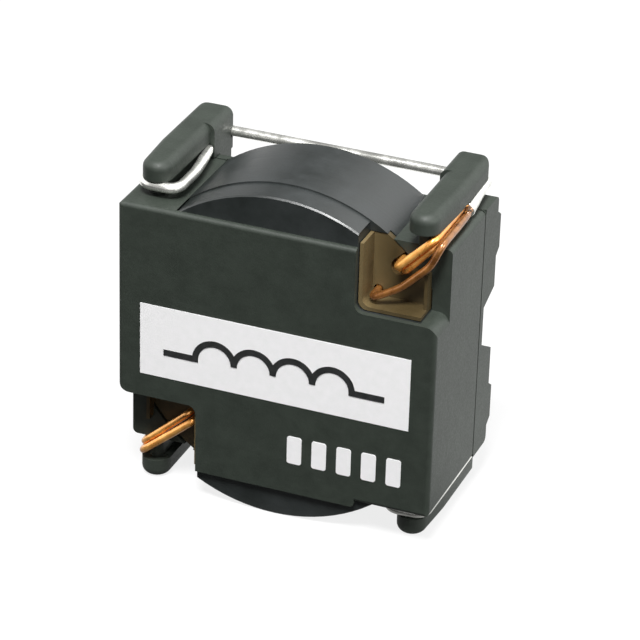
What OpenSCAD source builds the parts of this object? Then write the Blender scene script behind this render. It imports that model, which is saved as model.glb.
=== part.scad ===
// Surface mount power inductor: a round two-piece ferrite core in a moulded case with four wire horns.
// Millimetres, +Z up. The part stands on its two lower horns and its printed face looks along -Y.
// The origin is on the ground, under the middle of the part.
// Modules are drawn about the core's axis, with y counted from the printed face, and then put in place.

/* [Case] */
// Width of the cover over its side walls
case_w = 18.5; // [18.2:0.1:19]
// Height of the cover between its top and bottom edges
case_h = 15.4; // [15.2:0.1:15.8]
// Thickness of the cover's front wall
front_wall = 0.3; // [0.25:0.05:0.4]
// Thickness of the cover's side walls
side_wall = 1; // [0.8:0.05:1.1]
// Rounding of the cover's front edges
edge_r = 0.25; // [0.1:0.05:0.3]
// Rounding of the case's corners, seen from the front
corner_r = 0.3; // [0.25:0.05:0.5]
// How far the front wall hangs down past the case's lower edge, in front of the core
lip_h = 0.35; // [0.2:0.05:0.5]

/* [Windows] */
// Width of each corner window, from its inner edge to the side of the case
window_w = 4.7; // [4.4:0.05:4.8]
// Height of each corner window, from its sill or lintel to the edge of the case
window_h = 3.75; // [3.6:0.05:3.9]
// Rounding of each window's inner corner
window_r = 0.5; // [0.2:0.05:0.7]
// Rounding of the front's corner beside each window, at the side of the case
step_r = 0.65; // [0.4:0.05:0.8]

/* [Core] */
// How far the round core stands out above and below the cover
core_rise = 2; // [1.85:0.05:2]
// Depth of the whole core along its axis
core_d = 7.05; // [6.8:0.05:7.2]
// Thickness of the front plate and of the cup's back
plate_t = 1.7; // [1.6:0.05:1.8]
// Thickness of the cup's skirt
skirt_t = 0.9; // [0.8:0.05:1]
// Diameter of the post in the middle of the cup
post_dia = 8.6; // [8:0.1:9]
// Gap between the post and the plate
air_gap = 0.25; // [0.1:0.05:0.4]
// Rounding of the core's outer rims
rim_r = 0.08; // [0.05:0.01:0.15]
// How far the front plate sits below the cup's axis
plate_drop = 0.1; // [0:0.05:0.1]

/* [Base and horns] */
// Depth of the part from its printed face to the board side of its feet
rear_y = 9.9; // [9.7:0.05:10.1]
// Depth of the base's pocket for the core's back
pocket_d = 0.2; // [0.1:0.05:0.3]
// Thickness of the base's plate behind the core
base_plate = 0.4; // [0.3:0.05:0.5]
// Width of a horn's head
head_w = 1.85; // [1.75:0.05:1.95]
// Thickness of a horn's head
head_t = 1.12; // [1.1:0.02:1.2]
// Distance from the side of the case to a head's outer edge
head_inset = 0.55; // [0.5:0.05:0.65]
// Distance from the printed face to a head's front end
head_front = 1.05; // [0.9:0.05:1.2]
// Width of a horn's neck
neck_w = 0.9; // [0.8:0.05:1]

/* [Wire] */
// Diameter of one copper strand
strand_d = 0.44; // [0.4:0.01:0.46]
// Diameter of the tinned terminal wire
wire_d = 0.62; // [0.55:0.01:0.65]

/* [Print] */
// Bare strip between an end of the white panel and the side of the case
label_margin = 1.35; // [1.25:0.05:2.25]
// Height of the white panel
label_h = 4.36; // [4:0.02:4.6]
// Height of the white panel's middle over the middle of the case
label_z = -0.35; // [-0.45:0.05:-0.1]

/* [Hidden] */

$fn = 96;

// Fits, print, and how far a cut runs on past what it cuts
clear = 0.05;
close_fit = 0.015;
touch = 0.01;
ink_t = 0.03;
past = 1;

// Core, from front to back
half_h = case_h / 2;
core_r = half_h + core_rise;
core_half_w = case_w / 2 - side_wall - clear;
joint_y = front_wall + plate_t;
core_rear = front_wall + core_d;
cup_floor = core_rear - plate_t;
skirt_in = core_r - skirt_t;

// Case, from front to back
cover_d = core_rear - pocket_d;
plate_rear = core_rear + base_plate;
seam = 0.12;
window_x = case_w / 2 - window_w;
window_z = half_h - window_h;
label_w = case_w - 2 * label_margin;
lip_end = sqrt(core_r * core_r - (half_h + lip_h) * (half_h + lip_h)) - 2 * edge_r;

// Horns: a channel that holds two strands, one over the other, lies under each head
neck_inset = 0.5;
neck_setback = 0.6;
block_step = 0.25;
block_ahead = 0.35;
channel_h = 2 * strand_d + 2 * clear;
head_under = half_h + channel_h;
horn_tip = head_under + head_t;
head_out = case_w / 2 - head_inset;
head_in = head_out - head_w;
neck_out = head_out - neck_inset;
neck_in = neck_out - neck_w;
neck_front = head_front + neck_setback;
neck_rear = rear_y - wire_d - touch;
block_in = head_in - block_step;
block_front = core_rear - block_ahead;
head_rear = rear_y - 0.3;
head_rear_r = 0.75;
head_top_r = 0.5;

// A head narrows on its outer side towards its round front end, from taper_y forward
taper_y = 4.4;
tip_narrow = 0.15;
tip_r = (head_w - tip_narrow) / 2;
tip_y = head_front + tip_r;
tip_turn = atan(tip_narrow / (taper_y - tip_y));

// Feet: the short one reaches less far towards the middle; each has a pad for the board between two shoulders
foot_short = 1.4;
foot_short_slope = 0.75;
foot_long = 0.55;
foot_long_slope = 1.15;
foot_r = 0.35;
shoulder_y = rear_y - 0.5;
pad_in = 4.0;
pad_out = 6.7;
pad_slope = 0.35;

// Coil former and winding
former_front = joint_y + clear;
former_rear = cup_floor - clear;
flange_t = 0.35;
tube_t = 0.4;
winding_fill = 0.8;
tray_t = 0.2;
tray_front = front_wall + 0.15;
tray_side_front = joint_y - 0.6;
tray_side_h = 2.3;
tray_top = half_h + 0.2;
tube_in = post_dia / 2 + clear;
tube_out = tube_in + tube_t;
flange_out = skirt_in - clear;
winding_front = former_front + flange_t;
winding_rear = former_rear - flange_t;
winding_out = tube_out + winding_fill * (min(core_half_w, flange_out) - tube_out);

// Tinned wire beside, behind and in front of a neck
wire_x = neck_out + wire_d / 2 + touch;
wire_y = rear_y - wire_d / 2;
wire_z = head_under - wire_d / 2 - touch;
wire_front = neck_front - wire_d / 2 - touch;
wire_inner = neck_in - wire_d / 2 - touch;
tin_y = 5.9;
bundle_end = tin_y + 2.8;

// Three strands beside a neck: two against it, one over the other, and the third nested outside them
nest = 0.9 * strand_d;
seat_x = neck_out + strand_d / 2 + touch;
seat_top = head_under - strand_d / 2 - clear;
seat_mid = seat_top - strand_d / 2;
seat_a = [seat_x, seat_top];
seat_b = [seat_x, seat_top - strand_d - touch];
seat_c = [seat_x + nest, seat_mid];
seat_front = 1.45;
seat_stagger = 0.25;

// Where the strands come out of the coil former's front: the upper pair over its outer edge, out of a slot in
// the skirt behind it, the lower pair and the third strand through holes near each window's inner corner
slot_angle = 44;
slot_w = 2 * strand_d + 2 * clear;
slot_d = 1;
top_exit = [window_x + 2.1, window_z + 2.5];
bottom_exit = [window_x + 0.65, window_z + 1.3];
third_exit = [window_x + 0.6, window_z + 0.6];

// How the wires are drawn: where a bend starts, its steps, and the flats round a wire
strand_bend = 0.5;
wire_bend = 0.78;
bend_steps = 6;
wire_sides = 12;

// The ground is under whichever hangs lower, the horns or the core
stand_z = max(horn_tip, core_r + plate_drop);
middle_y = (rear_y - 2 * ink_t) / 2;

module placed() {
    translate([0, -middle_y, stand_z]) children();
}

// The part looks the same after half a turn about the core's axis
module half_turn() {
    rotate([0, 180, 0]) children();
}

// Sweeps of a flat shape: its second direction points up, or back for along_z
module along_y(y0, y1) {
    translate([0, y1, 0]) rotate([90, 0, 0]) linear_extrude(y1 - y0) children();
}

module along_x(x0, x1) {
    translate([x0, 0, 0]) rotate([90, 0, 90]) linear_extrude(x1 - x0) children();
}

module along_z(z0, z1) {
    translate([0, 0, z0]) linear_extrude(z1 - z0) children();
}

module box_shape(x0, x1, y0, y1) {
    translate([x0, y0]) square([x1 - x0, y1 - y0]);
}

module rounded_shape(x0, x1, y0, y1, r) {
    box_shape(x0 + r, x1 - r, y0, y1);
    box_shape(x0, x1, y0 + r, y1 - r);
    for (x = [x0 + r, x1 - r], y = [y0 + r, y1 - r]) translate([x, y]) circle(r);
}

// A box whose two corners at x = 0 are rounded
module nose_shape(d, h, r) {
    box_shape(r, d, -h / 2, h / 2);
    box_shape(0, d, -h / 2 + r, h / 2 - r);
    for (y = [-h / 2 + r, h / 2 - r]) translate([r, y]) circle(r);
}

// Outline of the core: a disc with its two sides cut flat, grown all round for a fit
module core_shape(grow = 0) {
    intersection() {
        circle(core_r + grow);
        square([2 * (core_half_w + grow), 3 * core_r], center = true);
    }
}

// Outline of the two corner windows
module window_shape() {
    far = 2 * core_r;
    rounded_shape(window_x, far, window_z, far, window_r);
    rounded_shape(-far, -window_x, -far, -window_z, window_r);
}

// What rounds off the front part's corner under the top window, at the side of the case
module window_corner() {
    difference() {
        box_shape(case_w / 2 - step_r, case_w / 2 + past, window_z - step_r, window_z + past);
        translate([case_w / 2 - step_r, window_z - step_r]) circle(step_r);
    }
}

// Cover: front wall with its lip, side walls and the solid corners beside the core
module cover() {
    color([0.2, 0.22, 0.2]) placed() difference() {
        union() {
            intersection() {
                along_y(0, cover_d) rounded_shape(-case_w / 2, case_w / 2, -half_h, half_h, corner_r);
                along_z(-half_h, half_h) rotate(90) nose_shape(cover_d, case_w, edge_r);
                along_x(-case_w / 2, case_w / 2) nose_shape(cover_d, case_h, edge_r);
            }
            along_y(0, front_wall) rounded_shape(-lip_end, lip_end, -half_h - lip_h, 0, edge_r);
        }
        along_y(front_wall, cover_d + past) {
            core_shape(close_fit);
            translate([0, -plate_drop]) core_shape(close_fit);
        }
        along_y(-past, joint_y) {
            window_shape();
            window_corner();
            rotate(180) window_corner();
        }
    }
}

// Plan of a horn's head behind its tip: wider at its root, rounded at the outer rear corner
module head_plan() {
    box_shape(head_in, head_out, tip_y, head_rear - head_rear_r);
    box_shape(block_in, head_out - head_rear_r, block_front, head_rear);
    translate([head_out - head_rear_r, head_rear - head_rear_r]) circle(head_rear_r);
}

// A box with its two upper corners rounded
module loaf_shape(x0, x1, y0, y1, r) {
    box_shape(x0, x1, y0, y1 - r);
    box_shape(x0 + r, x1 - r, y0, y1);
    for (x = [x0 + r, x1 - r]) translate([x, y1 - r]) circle(r);
}

// Upper right horn's head: a bar with a rounded back, narrowed towards the front, and a round tip
module head() {
    intersection() {
        along_z(head_under, horn_tip) head_plan();
        union() {
            along_y(tip_y, head_rear) loaf_shape(head_in, head_out, head_under, horn_tip, head_top_r);
            along_y(block_front, head_rear)
                loaf_shape(block_in, head_out, head_under, horn_tip, head_top_r);
        }
        translate([head_out, taper_y, 0]) rotate([0, 0, -tip_turn])
            along_y(-taper_y, rear_y) loaf_shape(-2 * head_w, 0, head_under, horn_tip, head_top_r);
    }
    translate([head_in + tip_r, tip_y, head_under]) rotate_extrude() intersection() {
        box_shape(0, tip_r, touch, head_t);
        loaf_shape(-tip_r, tip_r, 0, head_t, head_top_r);
    }
}

// Upper right horn: head, neck, and a block that carries them on the foot, grooved behind for the wire.
// The neck's outer rear corner is rounded for the wire's bend
module horn() {
    head();
    along_z(half_h + clear, head_under + head_t / 2) {
        box_shape(neck_in, neck_out, neck_front + neck_w / 2, neck_rear - wire_bend);
        translate([neck_in + neck_w / 2, neck_front + neck_w / 2]) circle(neck_w / 2);
        box_shape(block_in, neck_out - wire_bend, block_front, neck_rear);
        translate([neck_out - wire_bend, neck_rear - wire_bend]) circle(wire_bend);
    }
    along_z(half_h - foot_r, head_under - wire_d - 2 * touch)
        box_shape(block_in, neck_out, plate_rear, head_rear);
}

// Side view of a foot from its inner end to the outer edge of the case
module foot_side(inner, slope) {
    polygon([[core_rear, inner], [shoulder_y, inner + slope], [shoulder_y, pad_in],
             [rear_y, pad_in + pad_slope], [rear_y, pad_out - pad_slope], [shoulder_y, pad_out],
             [shoulder_y, half_h - foot_r], [core_rear, half_h - foot_r]]);
    box_shape(core_rear, shoulder_y - foot_r, pad_out, half_h);
    translate([shoulder_y - foot_r, half_h - foot_r]) circle(foot_r);
}

// Both horns and feet of the right side
module base_side() {
    horn();
    mirror([0, 0, 1]) horn();
    along_x(block_in, case_w / 2) foot_side(foot_short, foot_short_slope);
    mirror([0, 0, 1]) along_x(block_in, case_w / 2) foot_side(foot_long, foot_long_slope);
}

// Base: plate behind the core with a shallow pocket and a small groove next to the cover, four feet and four
// horns
module base() {
    color([0.3, 0.33, 0.31]) placed() difference() {
        union() {
            along_y(cover_d, cover_d + seam) rounded_shape(seam - case_w / 2, case_w / 2 - seam,
                                                           seam - half_h, half_h - seam, corner_r);
            along_y(cover_d + seam, plate_rear)
                rounded_shape(-case_w / 2, case_w / 2, -half_h, half_h, corner_r);
            base_side();
            half_turn() base_side();
        }
        along_y(cover_d - past, core_rear) core_shape(clear);
    }
}

// Solid disc of the core between two depths, with its outer rims broken by small chamfers
module core_disc(y0, y1, front_rim, rear_rim) {
    intersection() {
        along_y(y0, y1) square([2 * core_half_w, 3 * core_r], center = true);
        translate([0, y0, 0]) rotate([-90, 0, 0]) rotate_extrude()
            polygon([[0, 0], [core_r - front_rim, 0], [core_r, front_rim],
                     [core_r, y1 - y0 - rear_rim], [core_r - rear_rim, y1 - y0], [0, y1 - y0]]);
    }
}

// Core plate: front disc of the core, cut away at the windows
module core_plate() {
    color([0.3, 0.32, 0.32]) placed() difference() {
        translate([0, 0, -plate_drop]) core_disc(front_wall, joint_y, rim_r, 0);
        along_y(front_wall - past, joint_y + past) window_shape();
    }
}

// A place at an exit: a distance outwards along its slot and one across it
function beside(place, along, across) =
    place + along * [cos(slot_angle), sin(slot_angle)] + across * [-sin(slot_angle), cos(slot_angle)];

// One radial slot that starts round a point and runs outwards
module slot_shape(start) {
    translate(start) rotate(slot_angle) {
        box_shape(0, core_r, -slot_w / 2, slot_w / 2);
        circle(slot_w / 2);
    }
}

// Openings in the coil former's front for the strands
module exits_shape() {
    slot_shape(beside(top_exit, -strand_bend, 0));
    rotate(180) translate(bottom_exit) rotate(slot_angle)
        rounded_shape(-strand_d / 2 - clear, strand_d / 2 + clear, -slot_w / 2, slot_w / 2, strand_d / 2);
    translate(third_exit) circle(strand_d / 2 + clear);
}

// Core cup: skirt, back and middle post in one piece, round the space for the coil. The skirt is lower at the
// windows, with a slot for the upper pair of strands.
module core_cup() {
    color([0.32, 0.34, 0.34]) placed() difference() {
        core_disc(joint_y, core_rear, 0, rim_r);
        along_y(joint_y - past, cup_floor) difference() {
            circle(skirt_in);
            circle(post_dia / 2);
        }
        along_y(joint_y - past, joint_y + air_gap) circle(post_dia / 2 + touch);
        along_y(joint_y - past, winding_front + clear) intersection() {
            window_shape();
            square([4 * core_r, 2 * (tray_top + clear)], center = true);
        }
        along_y(joint_y - past, joint_y + slot_d) difference() {
            slot_shape(beside(top_exit, -skirt_t, 0));
            circle(skirt_in - clear);
        }
    }
}

// Flat-sided ring, the shape of a flange of the coil former
module flange_shape() {
    difference() {
        intersection() {
            circle(flange_out);
            square([2 * core_half_w, 3 * core_r], center = true);
        }
        circle(tube_in);
    }
}

// What fills a window of the core behind its edge, down to an inset from that edge
module window_fill(inset) {
    intersection() {
        core_shape(-clear);
        rounded_shape(window_x + inset, 2 * core_r, window_z + inset, 2 * core_r, window_r);
        box_shape(0, core_r, 0, tray_top);
    }
}

// The tray's side wall, seen from the front
module tray_side() {
    side_out = core_half_w - clear;
    box_shape(side_out - tray_t, side_out, window_z + clear, window_z + tray_side_h);
}

// Tray in the upper window: walls along the window's inner edge and sill, and a lower one at the side
module tray() {
    along_y(former_front, winding_front) window_fill(clear);
    along_y(tray_front, winding_front) difference() {
        window_fill(clear);
        window_fill(clear + tray_t);
    }
    along_y(tray_side_front, joint_y - clear) tray_side();
    along_y(tray_side_front, winding_front) intersection() {
        tray_side();
        core_shape(-clear);
    }
}

// Coil former: tube on the post with a flange at each end, the front one with a tray in each window
module coil_former() {
    color([0.55, 0.45, 0.3]) placed() difference() {
        union() {
            along_y(former_front, winding_front) flange_shape();
            along_y(former_front, former_rear) difference() {
                circle(tube_out);
                circle(tube_in);
            }
            along_y(winding_rear, former_rear) flange_shape();
            tray();
            half_turn() tray();
        }
        along_y(former_front - past, winding_front + touch) exits_shape();
    }
}

// Winding: a ring of turns, its outer layer drawn turn by turn
module winding() {
    turns = floor((winding_rear - winding_front) / strand_d);
    pitch = (winding_rear - winding_front) / turns;
    color([0.6, 0.33, 0.14]) placed() translate([0, winding_rear, 0]) rotate([90, 0, 0]) rotate_extrude() {
        box_shape(tube_out, winding_out - pitch / 2, 0, winding_rear - winding_front);
        for (i = [0 : turns - 1]) translate([winding_out - pitch / 2, (i + 0.5) * pitch])
            circle(pitch / 2);
    }
}

function unit(v) = v / norm(v);

// Points of a smooth bend at b, between a and c, starting at most s away from b
function bend(a, b, c, s) =
    let (
        p = b + unit(a - b) * min(s, 0.49 * norm(a - b)),
        q = b + unit(c - b) * min(s, 0.49 * norm(c - b))
    )
    [for (i = [0 : bend_steps]) let (t = i / bend_steps, u = 1 - t) u * u * p + 2 * t * u * b + t * t * q];

// A line of points with each inner corner replaced by a bend
function bent(points, s) =
    let (last = len(points) - 1)
    [
        points[0],
        for (i = [1 : last - 1]) each bend(points[i - 1], points[i], points[i + 1], s),
        points[last]
    ];

function heading(path, i) = unit(path[min(i + 1, len(path) - 1)] - path[max(i - 1, 0)]);

// One ring of points across a path, with its own half width and half height
function wire_ring(p, t, high_way, wide, high) =
    let (side = unit(cross(t, high_way)), up = cross(side, t))
    [for (k = [0 : wire_sides - 1])
        p + wide * cos(360 * k / wire_sides) * side + high * sin(360 * k / wire_sides) * up];

// Round wire along a path; each entry of sizes is the half width and half height at one path point
module wire(path, high_way, sizes) {
    rings = len(path);
    n = wire_sides;
    points = [for (i = [0 : rings - 1])
        each wire_ring(path[i], heading(path, i), high_way, sizes[i][0], sizes[i][1])];
    walls = [for (i = [0 : rings - 2], k = [0 : n - 1]) let (j = (k + 1) % n)
        each [[i * n + k, i * n + j, i * n + n + j], [i * n + k, i * n + n + j, i * n + n + k]]];
    start = [for (k = [0 : n - 1]) n - 1 - k];
    end = [for (k = [0 : n - 1]) (rings - 1) * n + k];
    polyhedron(points, concat(walls, [start, end]));
}

function at_depth(place, y) = [place[0], y, place[1]];

// A copper strand: from the coil through the given points to the front of its seat, and back beside the right
// horn
module strand(start, seat, front) {
    path = bent(concat(start, [at_depth(seat, front), at_depth(seat, tin_y)]), strand_bend);
    wire(path, [1, 0, -1], [for (p = path) [strand_d / 2, strand_d / 2]]);
}

// Upper pair: from the coil's outer layer outwards behind the coil former's front, and forward at the exit
run_y = winding_front + clear + strand_d / 2 + touch;
coil_reach = winding_out + strand_d / 2 - norm(top_exit);
function upper_start(across, forward_y) = [
    at_depth(beside(top_exit, coil_reach, across), run_y),
    at_depth(beside(top_exit, 0, across), run_y),
    at_depth(beside(top_exit, 0, across), forward_y)
];

// Lower pair: straight forward from the coil's front at the exit, then across the window to the horn
function lower_start(across, forward_y, turn) = [
    at_depth(beside(bottom_exit, 0, across), winding_front),
    at_depth(beside(bottom_exit, 0, across), forward_y),
    turn
];

// Tinned wire: from the bundle of strands along the right horn, across the back, round the left horn and up
// to its block
module tinned_run() {
    bundle_x = seat_x + 0.45 * strand_d;
    path = bent([
        [bundle_x, tin_y, seat_mid],
        [bundle_x, tin_y + 0.2, seat_mid],
        [wire_x, bundle_end, wire_z],
        [wire_x, wire_y, wire_z],
        [-wire_x, wire_y, wire_z],
        [-wire_x, wire_front, wire_z],
        [-head_in + 0.5, wire_front, wire_z],
        [-head_in + 0.5, wire_front + 2.6, wire_z],
        [-head_in + 0.25, wire_front + 4.2, wire_z],
        [-head_in - 0.05, block_front - clear, wire_z]
    ], wire_bend);
    bundle = [0.95 * strand_d, strand_d];
    round_wire = [wire_d / 2, wire_d / 2];
    wire(path, [0, 0, 1], [for (p = path)
        let (f = p[0] > 0 ? max(0, min(1, (bundle_end - p[1]) / (bundle_end - tin_y))) : 0)
        f * bundle + (1 - f) * round_wire]);
}

half_gap = strand_d / 2 + touch;

module copper() {
    color([0.75, 0.45, 0.18]) placed() children();
}

module lead_top_a() {
    copper() strand(upper_start(half_gap, 0.8), seat_a, seat_front);
}

module lead_top_b() {
    copper() strand(upper_start(-half_gap, 1.15), seat_b, seat_front + seat_stagger);
}

module lead_top_c() {
    copper() strand([
        at_depth(third_exit, winding_front),
        at_depth(third_exit, 0.85),
        [window_x + 2.1, 1.15, window_z + 1.35],
        [window_x + 3.75, 1.25, window_z + 2.95]
    ], seat_c, seat_front);
}

module lead_bottom_a() {
    turn = [seat_a[0] - 0.45, 0.95, seat_a[1] - 0.5];
    copper() half_turn() strand(lower_start(half_gap, 0.9, turn), seat_a, seat_front);
}

module lead_bottom_b() {
    turn = [seat_b[0] - 0.4, 1.25, seat_b[1] - 0.45];
    copper() half_turn() strand(lower_start(-half_gap, 1.2, turn), seat_b, seat_front + seat_stagger);
}

module terminal_top() {
    color([0.85, 0.85, 0.83]) placed() tinned_run();
}

module terminal_bottom() {
    color([0.85, 0.85, 0.83]) placed() half_turn() tinned_run();
}

// Label panel: flat white field in the middle of the front
module label_panel() {
    color([0.92, 0.92, 0.92]) placed()
        along_y(-ink_t, 0) translate([0, label_z]) square([label_w, label_h], center = true);
}

// Circuit symbol of a coil, in dark ink on the panel: two straight ends and a row of humps
module label_symbol() {
    line = 0.36;
    hump_r = 1.15;
    humps = 4;
    end_l = 1.7;
    row_w = humps * 2 * hump_r;
    color([0.15, 0.15, 0.15]) placed() along_y(-2 * ink_t, -ink_t) translate([0, label_z - hump_r / 2]) {
        for (i = [0 : humps - 1]) translate([(2 * i + 1) * hump_r - row_w / 2, 0]) intersection() {
            difference() {
                circle(hump_r + line / 2);
                circle(hump_r - line / 2);
            }
            box_shape(-2 * hump_r, 2 * hump_r, 0, 2 * hump_r);
        }
        for (side = [-1, 1]) translate([side * (row_w + end_l) / 2, 0])
            square([end_l + line, line], center = true);
    }
}

// Row of plain bars in white ink under the panel
module date_bars() {
    bars = 5;
    bar_w = 0.85;
    bar_h = 1.7;
    pitch = 1.45;
    first_x = 1.35;
    edge_gap = 2.4;
    row_z = edge_gap - half_h;
    color([0.92, 0.92, 0.92]) placed() along_y(-ink_t, 0)
        for (i = [0 : bars - 1]) translate([first_x + i * pitch, row_z])
            rounded_shape(-bar_w / 2, bar_w / 2, -bar_h / 2, bar_h / 2, 0.15);
}

cover();
base();
core_plate();
core_cup();
coil_former();
winding();
lead_top_a();
lead_top_b();
lead_top_c();
lead_bottom_a();
lead_bottom_b();
terminal_top();
terminal_bottom();
label_panel();
label_symbol();
date_bars();
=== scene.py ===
import math

import bmesh
import bpy
from mathutils import Matrix, Vector


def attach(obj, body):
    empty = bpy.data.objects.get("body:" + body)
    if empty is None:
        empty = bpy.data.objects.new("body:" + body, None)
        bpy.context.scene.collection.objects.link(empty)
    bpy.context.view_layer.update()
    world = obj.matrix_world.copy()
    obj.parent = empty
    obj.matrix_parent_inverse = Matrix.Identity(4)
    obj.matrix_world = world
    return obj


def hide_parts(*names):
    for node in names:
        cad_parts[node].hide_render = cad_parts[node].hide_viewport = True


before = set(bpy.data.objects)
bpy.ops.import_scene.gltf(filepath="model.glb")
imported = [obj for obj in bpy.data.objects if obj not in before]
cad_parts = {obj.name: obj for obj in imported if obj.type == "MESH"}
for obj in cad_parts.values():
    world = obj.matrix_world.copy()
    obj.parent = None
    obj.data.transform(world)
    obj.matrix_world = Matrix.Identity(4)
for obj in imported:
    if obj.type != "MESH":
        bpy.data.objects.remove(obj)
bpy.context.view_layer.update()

# Camera: a long lens above and to the right of the printed face, shifted so that the part sits in the
# picture where it does in the photograph.
AIM = Vector((0, -0.00492, 0.009526))
AZIMUTH, ELEVATION, ROLL = (math.radians(a) for a in (21.90, 28.80, 1.31))
DISTANCE = 0.18502
NEAREST = 0.01
SENSOR_MM, LENS_MM = 36, 192.23
SHIFT_RIGHT, SHIFT_UP = 0.0731, 0.0705
turn = Matrix.Rotation(AZIMUTH, 4, "Z") @ Matrix.Rotation(math.pi / 2 - ELEVATION, 4, "X")
turn = turn @ Matrix.Rotation(ROLL, 4, "Z")
lens = bpy.data.cameras.new("camera")
lens.sensor_width = SENSOR_MM
lens.lens = LENS_MM
lens.shift_x = SHIFT_RIGHT
lens.shift_y = SHIFT_UP
lens.clip_start = NEAREST
camera = bpy.data.objects.new("camera", lens)
camera.matrix_world = Matrix.Translation(AIM + DISTANCE * turn.col[2].to_3d()) @ turn
bpy.context.scene.collection.objects.link(camera)
bpy.context.scene.camera = camera
bpy.context.scene.view_settings.view_transform = "Standard"

# Studio: a pale sweep of paper under the part, a white room, and soft lamps above, in front and to the
# right. The camera sees the paper near white with a faint shadow, but what reaches the part from it is dim
# in front and bright behind. What the part mirrors of the room is dimmest towards a wall on the left.
FLOOR_REACH = 3.0
PAPER = (0.86, 0.86, 0.86, 1)
PAPER_GLOW = 0.82
DIM_UP_TO, BRIGHT_FROM = -0.006, 0.004
PAPER_FRONT, PAPER_BACK = 0.06, 1.15
ROOM_WHITE, ROOM_LIGHT = 1.0, 0.16
DIM_WALL, WALL_SPREAD = -0.33, 0.5
ROOM_DIM, ROOM_BRIGHT = 0.06, 1.65


def new_material(name):
    made = bpy.data.materials.new(name)
    made.use_nodes = True
    made.node_tree.nodes.clear()
    return made, made.node_tree.nodes, made.node_tree.links


def feed(links, socket, setting):
    """Gives a socket its setting, which is a number or another node's output."""
    if isinstance(setting, bpy.types.NodeSocket):
        links.new(setting, socket)
    else:
        socket.default_value = setting


def blend(nodes, links, share, first, second):
    """A mix of two shaders."""
    made = nodes.new("ShaderNodeMixShader")
    feed(links, made.inputs["Fac"], share)
    links.new(first, made.inputs[1])
    links.new(second, made.inputs[2])
    return made.outputs[0]


def remap(nodes, links, value, start, end, low, high):
    """A number that goes from low to high as value goes from start to end, and no further."""
    made = nodes.new("ShaderNodeMapRange")
    for name, setting in (("Value", value), ("From Min", start), ("From Max", end), ("To Min", low),
                          ("To Max", high)):
        feed(links, made.inputs[name], setting)
    return made.outputs["Result"]


def calculate(nodes, links, operation, *settings):
    made = nodes.new("ShaderNodeMath")
    made.operation = operation
    for socket, setting in zip(made.inputs, settings):
        feed(links, socket, setting)
    return made.outputs[0]


def along(nodes, links, coordinates, axis):
    """One axis of a kind of texture coordinates."""
    where = nodes.new("ShaderNodeTexCoord")
    parts = nodes.new("ShaderNodeSeparateXYZ")
    links.new(where.outputs[coordinates], parts.inputs[0])
    return parts.outputs[axis]


floor_shape = bmesh.new()
bmesh.ops.create_grid(floor_shape, x_segments=1, y_segments=1, size=FLOOR_REACH)
floor_mesh = bpy.data.meshes.new("floor")
floor_shape.to_mesh(floor_mesh)
floor_shape.free()
floor = bpy.data.objects.new("floor", floor_mesh)
bpy.context.scene.collection.objects.link(floor)
paper, nodes, links = new_material("paper_sweep")
matt = nodes.new("ShaderNodeBsdfDiffuse")
matt.inputs["Color"].default_value = PAPER
glow = nodes.new("ShaderNodeEmission")
mirrored = nodes.new("ShaderNodeEmission")
level = remap(nodes, links, along(nodes, links, "Object", "Y"), DIM_UP_TO, BRIGHT_FROM,
              PAPER_FRONT, PAPER_BACK)
links.new(level, mirrored.inputs["Strength"])
path = nodes.new("ShaderNodeLightPath")
shown = blend(nodes, links, PAPER_GLOW, matt.outputs[0], glow.outputs[0])
links.new(blend(nodes, links, path.outputs["Is Camera Ray"], mirrored.outputs[0], shown),
          nodes.new("ShaderNodeOutputMaterial").inputs["Surface"])
floor_mesh.materials.append(paper)

room = bpy.data.worlds.new("room")
room.use_nodes = True
nodes, links = room.node_tree.nodes, room.node_tree.links
from_wall = calculate(nodes, links, "SUBTRACT", along(nodes, links, "Generated", "X"), DIM_WALL)
either_way = calculate(nodes, links, "ABSOLUTE", from_wall)
mirrored = remap(nodes, links, either_way, 0.0, WALL_SPREAD, ROOM_DIM, ROOM_BRIGHT)
path = nodes.new("ShaderNodeLightPath")
strength = remap(nodes, links, path.outputs["Is Glossy Ray"], 0.0, 1.0, ROOM_LIGHT, mirrored)
backdrop = remap(nodes, links, path.outputs["Is Camera Ray"], 0.0, 1.0, strength, ROOM_WHITE)
nodes["Background"].inputs["Color"].default_value = (1, 1, 1, 1)
links.new(backdrop, nodes["Background"].inputs["Strength"])
bpy.context.scene.world = room


def soft_lamp(name, place, size, power):
    light = bpy.data.lights.new(name, "AREA")
    light.size = size
    light.energy = power
    lamp = bpy.data.objects.new(name, light)
    facing = (AIM - Vector(place)).to_track_quat("-Z", "Y")
    lamp.matrix_world = Matrix.Translation(place) @ facing.to_matrix().to_4x4()
    bpy.context.scene.collection.objects.link(lamp)


soft_lamp("overhead_lamp", (0.08, 0.05, 0.36), size=0.2, power=0.3)
soft_lamp("front_lamp", (0.03, -0.19, 0.38), size=0.12, power=2.8)
soft_lamp("right_lamp", (0.32, -0.06, 0.16), size=0.16, power=0.6)

# Case plastic: dark grey-green moulding compound with fine mineral filler. It is matt, with a fine
# grain from the mould and slight cloudiness where the filler gathers.
NOISE_LOW, NOISE_HIGH = 0.3, 0.7
CASE_DARK = (0.022, 0.028, 0.022, 1)
CASE_LIGHT = (0.032, 0.040, 0.032, 1)


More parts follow.
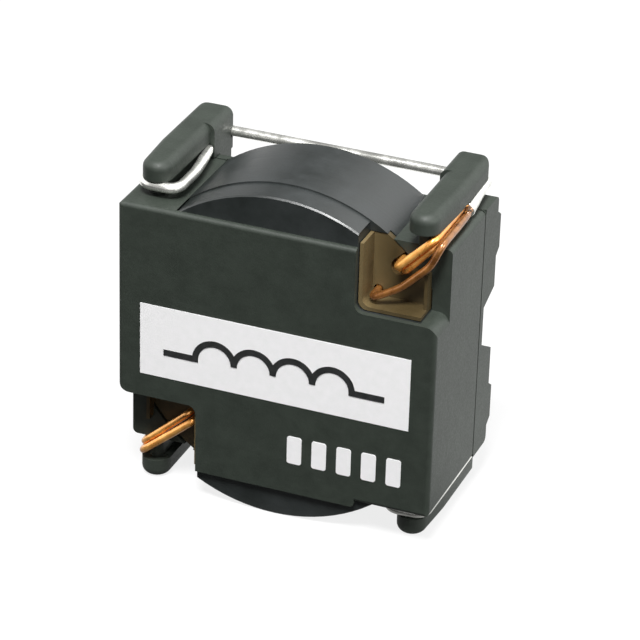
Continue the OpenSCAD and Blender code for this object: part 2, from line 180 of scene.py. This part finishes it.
def noise(nodes, links, scale, detail=2.0, roughness=0.5, stretch=None):
    """Noise read from Object coordinates, scale in features per metre."""
    where = nodes.new("ShaderNodeTexCoord")
    texture = nodes.new("ShaderNodeTexNoise")
    texture.inputs["Scale"].default_value = scale
    texture.inputs["Detail"].default_value = detail
    texture.inputs["Roughness"].default_value = roughness
    if stretch is None:
        links.new(where.outputs["Object"], texture.inputs["Vector"])
    else:
        mapped = nodes.new("ShaderNodeMapping")
        mapped.inputs["Scale"].default_value = stretch
        links.new(where.outputs["Object"], mapped.inputs["Vector"])
        links.new(mapped.outputs[0], texture.inputs["Vector"])
    return texture.outputs["Fac"]


def ramp(nodes, links, source, first, second):
    """A colour between two, by the value of source; each is a pair of a place and a colour."""
    made = nodes.new("ShaderNodeValToRGB")
    for stop, (place, colour) in zip(made.color_ramp.elements, (first, second)):
        stop.position = place
        stop.color = colour
    links.new(source, made.inputs["Fac"])
    return made.outputs["Color"]


def tint(nodes, links, source, dark, light):
    """A colour between dark and light by a noise."""
    return ramp(nodes, links, source, (NOISE_LOW, dark), (NOISE_HIGH, light))


def spread(nodes, links, source, low, high):
    """A number between low and high by a noise."""
    return remap(nodes, links, source, NOISE_LOW, NOISE_HIGH, low, high)


def bump(nodes, links, source, depth, under=None):
    """Surface relief of the given depth in metres, on top of another relief if there is one."""
    made = nodes.new("ShaderNodeBump")
    made.inputs["Strength"].default_value = 1.0
    made.inputs["Distance"].default_value = depth
    links.new(source, made.inputs["Height"])
    if under is not None:
        links.new(under, made.inputs["Normal"])
    return made.outputs["Normal"]


def surface(nodes, links, colour, rough, relief, **sockets):
    """The shader itself: linked colour, roughness and relief, and plain values for the rest."""
    shader = nodes.new("ShaderNodeBsdfPrincipled")
    links.new(colour, shader.inputs["Base Color"])
    links.new(rough, shader.inputs["Roughness"])
    links.new(relief, shader.inputs["Normal"])
    for name, value in sockets.items():
        shader.inputs[name.replace("_", " ")].default_value = value
    links.new(shader.outputs[0], nodes.new("ShaderNodeOutputMaterial").inputs["Surface"])


def case_plastic(name):
    made, nodes, links = new_material(name)
    cloud = noise(nodes, links, scale=900, detail=4.0, roughness=0.6)
    grain = noise(nodes, links, scale=9000, detail=3.0, roughness=0.6)
    pores = noise(nodes, links, scale=2600)
    relief = bump(nodes, links, pores, depth=0.000010)
    relief = bump(nodes, links, grain, depth=0.000006, under=relief)
    surface(nodes, links, tint(nodes, links, cloud, CASE_DARK, CASE_LIGHT),
            spread(nodes, links, grain, low=0.46, high=0.62), relief, Specular_IOR_Level=0.4)
    return made


def dress(node, finish):
    """Puts a finish on a node that keeps its own shape."""
    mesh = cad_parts[node].data
    mesh.materials.clear()
    mesh.materials.append(finish)


dress("cover", case_plastic("cover_plastic"))
dress("base", case_plastic("base_plastic"))

# Core: two pressed and sintered ferrite pieces, ground where they meet. Dull dark grey with a slight
# sheen, tiny pits from pressing and faint grinding lines.
FERRITE_DARK = (0.012, 0.015, 0.014, 1)
FERRITE_LIGHT = (0.024, 0.028, 0.028, 1)


def ferrite(name):
    made, nodes, links = new_material(name)
    cloud = noise(nodes, links, scale=500, detail=4.0, roughness=0.6)
    grain = noise(nodes, links, scale=12000, detail=3.0, roughness=0.7)
    lines = noise(nodes, links, scale=1500, stretch=(0.15, 4.0, 0.15))
    relief = bump(nodes, links, lines, depth=0.000006)
    relief = bump(nodes, links, grain, depth=0.000006, under=relief)
    surface(nodes, links, tint(nodes, links, cloud, FERRITE_DARK, FERRITE_LIGHT),
            spread(nodes, links, cloud, low=0.32, high=0.46), relief, Specular_IOR_Level=0.65)
    return made


dress("core_plate", ferrite("core_plate_ferrite"))
dress("core_cup", ferrite("core_cup_ferrite"))

# Coil former: one tan moulding on the core's post, seen through the corner windows. Its trays are painted
# lighter next to the core and darker further out: painted shade for the recess under the strands and
# horns.
TAN_DARK = (0.050, 0.035, 0.013, 1)
TAN_LIGHT = (0.15, 0.110, 0.050, 1)
# Painted shade: the tan is light up to the first distance out along X and dark from the second.
PAINTED_LIT_TO, PAINTED_SHADE_FROM = 0.0046, 0.0060
PAINTED_LIT_SHARE, CLOUD_SHARE = 0.6, 0.4
DARK_AT, LIGHT_AT = 0.15, 0.8
former, nodes, links = new_material("former_plastic")
cloud = noise(nodes, links, scale=700, detail=3.0, roughness=0.6)
grain = noise(nodes, links, scale=8000, roughness=0.6)
outward = calculate(nodes, links, "ABSOLUTE", along(nodes, links, "Object", "X"))
# Painted shade: lighter near the core, darker towards the outer side of the windows.
painted_lit_part = remap(nodes, links, outward, PAINTED_SHADE_FROM, PAINTED_LIT_TO, 0.0, PAINTED_LIT_SHARE)
tone = calculate(nodes, links, "MULTIPLY_ADD", cloud, CLOUD_SHARE, painted_lit_part)
surface(nodes, links, ramp(nodes, links, tone, (DARK_AT, TAN_DARK), (LIGHT_AT, TAN_LIGHT)),
        spread(nodes, links, grain, low=0.35, high=0.5), bump(nodes, links, grain, depth=0.000006))
dress("coil_former", former)

# Winding and leads: copper wire under clear amber enamel. Three strands come out of the coil at the upper
# window and two at the lower one, and run back under the horns. The third upper one lies deeper in the
# tray, under the pair, and is painted a darker brown as painted shade for the pair's shadow on it.
COPPER_DARK = (0.74, 0.28, 0.045, 1)
COPPER_LIGHT = (0.98, 0.50, 0.13, 1)
# Painted shade: a darker brown copper for the third upper strand, standing in for the shadow the pair
# casts on it.
SHADED_STRAND_DARK = (0.16, 0.055, 0.012, 1)
SHADED_STRAND_LIGHT = (0.46, 0.19, 0.045, 1)


def enamelled_copper(name, dark, light):
    made, nodes, links = new_material(name)
    tone = noise(nodes, links, scale=1400, detail=3.0, roughness=0.6)
    drawn = noise(nodes, links, scale=9000)
    surface(nodes, links, tint(nodes, links, tone, dark, light),
            spread(nodes, links, tone, low=0.22, high=0.38), bump(nodes, links, drawn, depth=0.000003),
            Metallic=0.6, Coat_Weight=0.6, Coat_Roughness=0.12)
    return made


dress("winding", enamelled_copper("winding_copper", COPPER_DARK, COPPER_LIGHT))

SAME_PLACE = 1e-8
ROUNDING = 2


def smooth_wire(node, finish):
    """A round wire over a node of many flats: the same tube with quads, smoothed."""
    shape = bmesh.new()
    shape.from_mesh(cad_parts[node].data)
    bmesh.ops.remove_doubles(shape, verts=shape.verts, dist=SAME_PLACE)
    bmesh.ops.join_triangles(shape, faces=shape.faces, angle_face_threshold=math.pi,
                             angle_shape_threshold=math.pi)
    for face in shape.faces:
        face.smooth = True
    mesh = bpy.data.meshes.new(node + "_wire")
    shape.to_mesh(mesh)
    shape.free()
    mesh.materials.append(finish)
    wire = bpy.data.objects.new(node + "_wire", mesh)
    bpy.context.scene.collection.objects.link(wire)
    finer = wire.modifiers.new("round", "SUBSURF")
    finer.levels = finer.render_levels = ROUNDING
    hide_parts(node)
    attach(wire, "root")
    return wire


lead_copper = enamelled_copper("lead_copper", COPPER_DARK, COPPER_LIGHT)
for lead in ("lead_top_a", "lead_top_b", "lead_bottom_a", "lead_bottom_b"):
    smooth_wire(lead, lead_copper)
# The third upper strand gets the darker copper, as painted shade for the pair's shadow.
shaded_strand_copper = enamelled_copper("shaded_strand_copper", SHADED_STRAND_DARK, SHADED_STRAND_LIGHT)
smooth_wire("lead_top_c", shaded_strand_copper)

# Terminals: the same wire dipped in solder, laid round the horns and flat across the board side.
TIN_DARK = (0.66, 0.66, 0.62, 1)
TIN_LIGHT = (0.92, 0.92, 0.87, 1)
tin, nodes, links = new_material("solder_dip")
tone = noise(nodes, links, scale=900, detail=3.0, roughness=0.6)
lumps = noise(nodes, links, scale=1500)
surface(nodes, links, tint(nodes, links, tone, TIN_DARK, TIN_LIGHT),
        spread(nodes, links, tone, low=0.16, high=0.34), bump(nodes, links, lumps, depth=0.00001),
        Metallic=0.85)
for end in ("top", "bottom"):
    smooth_wire("terminal_" + end, tin)

# Print: a white panel with a dark coil symbol on it, and a row of plain white bars below. The ink is
# laid thin, so it is slightly uneven.
INK_WHITE = (0.88, 0.88, 0.88, 1), (0.93, 0.92, 0.93, 1)
INK_DARK = (0.012, 0.013, 0.013, 1), (0.030, 0.031, 0.031, 1)


def ink(name, tones):
    made, nodes, links = new_material(name)
    patch = noise(nodes, links, scale=1800, detail=4.0, roughness=0.65)
    grain = noise(nodes, links, scale=10000, roughness=0.6)
    surface(nodes, links, tint(nodes, links, patch, *tones),
            spread(nodes, links, patch, low=0.5, high=0.65),
            bump(nodes, links, grain, depth=0.000004), Specular_IOR_Level=0.3)
    return made


white_ink = ink("white_ink", INK_WHITE)
dress("label_panel", white_ink)
dress("date_bars", white_ink)
dress("label_symbol", ink("dark_ink", INK_DARK))
